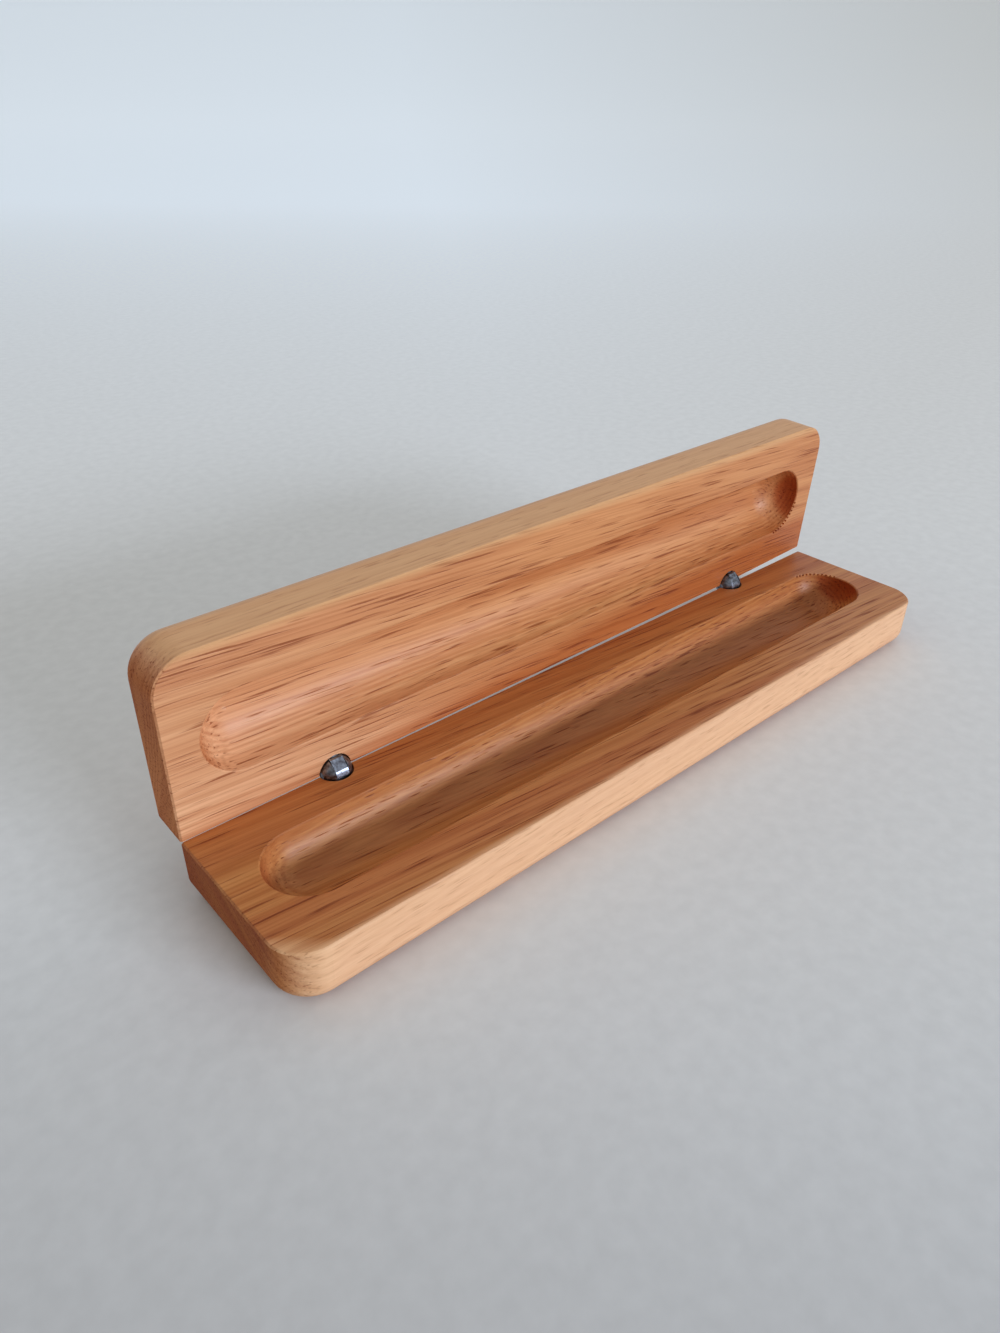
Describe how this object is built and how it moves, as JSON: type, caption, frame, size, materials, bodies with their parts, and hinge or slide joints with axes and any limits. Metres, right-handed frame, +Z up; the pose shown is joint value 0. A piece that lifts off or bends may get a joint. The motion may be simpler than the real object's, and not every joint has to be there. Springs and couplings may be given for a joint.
{
  "type": "pen case",
  "caption": "Slim hinged oak case for a pen, its base and lid hollowed by matching long grooves, shown with the lid standing open on sprung barrel hinges.",
  "frame": {"origin": "centre of the base's flat underside", "axes": "+X along the case, +Y towards the hinged edge, +Z up through the mating face of the base"},
  "size_m": [0.1701, 0.045, 0.0452],
  "materials": {
    "oak": "oiled, satin",
    "gunmetal": "dark plated, worn bright on the edges",
    "spring_steel": "plain"
  },
  "bodies": {
    "base": {"case_base": "oak", "lower_barrel_left": "gunmetal", "hinge_pin_left": "gunmetal", "spring_left": "spring_steel", "barrel_plug_left": "gunmetal", "lower_barrel_right": "gunmetal", "hinge_pin_right": "gunmetal", "spring_right": "spring_steel", "barrel_plug_right": "gunmetal"},
    "lid": {"case_lid": "oak", "upper_barrel_left": "gunmetal", "upper_barrel_right": "gunmetal"},
    "plunger_left": {"plunger_left": "spring_steel"},
    "plunger_right": {"plunger_right": "spring_steel"}
  },
  "joints": [
    {"name": "lid_hinge", "type": "hinge", "parent": "base", "child": "lid", "pos_m": [-0.056, 0.01685, 0.01103], "axis": [1, 0.0027, 0], "range_deg": [0, 88]},
    {"name": "plunger_slide_left", "type": "slide", "parent": "base", "child": "plunger_left", "axis": [-0.0019, 0.7071, 0.7071], "range_m": [0, 0.0002806]},
    {"name": "plunger_slide_right", "type": "slide", "parent": "base", "child": "plunger_right", "axis": [-0.0019, 0.7071, 0.7071], "range_m": [0, 0.0002806]}
  ],
  "couplings": [
    {"joint": "plunger_slide_left", "follows": "lid_hinge", "m_per_rad": 0.00018089},
    {"joint": "plunger_slide_right", "follows": "lid_hinge", "m_per_rad": 0.00018089}
  ]
}
